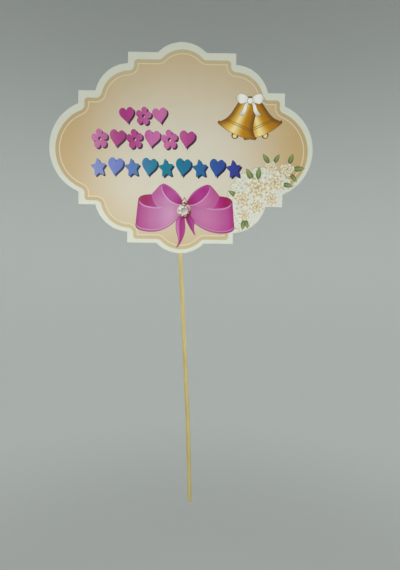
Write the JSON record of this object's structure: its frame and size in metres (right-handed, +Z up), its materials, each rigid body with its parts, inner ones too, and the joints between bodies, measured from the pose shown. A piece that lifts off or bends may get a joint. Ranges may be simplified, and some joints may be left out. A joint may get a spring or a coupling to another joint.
{
  "type": "photo booth prop sign",
  "caption": "Hand-held cartouche sign: a printed foam board with stepped and lobed edges, hot-glued to a slim bamboo stick, for party photographs.",
  "frame": {"origin": "on the stick's axis, midway along the straight stretch at its lower end, where a hand or a holder grips it", "axes": "+Z up, parallel to the sign's upright centre line; -Y out of the printed face, +Y out of the back; +X to the right of someone looking at the print"},
  "size_m": [0.24, 0.0106, 0.431],
  "materials": {
    "print_film": "satin",
    "board_paper": "matte",
    "foam": "matte",
    "bamboo": "matte",
    "hot_glue": "satin"
  },
  "bodies": {
    "root": {"print_film": "print_film", "front_paper": "board_paper", "foam_core": "foam", "back_paper": "board_paper", "stick": "bamboo", "glue_bed": "hot_glue", "lower_glue_saddle": "hot_glue", "upper_glue_saddle": "hot_glue"}
  },
  "joints": []
}
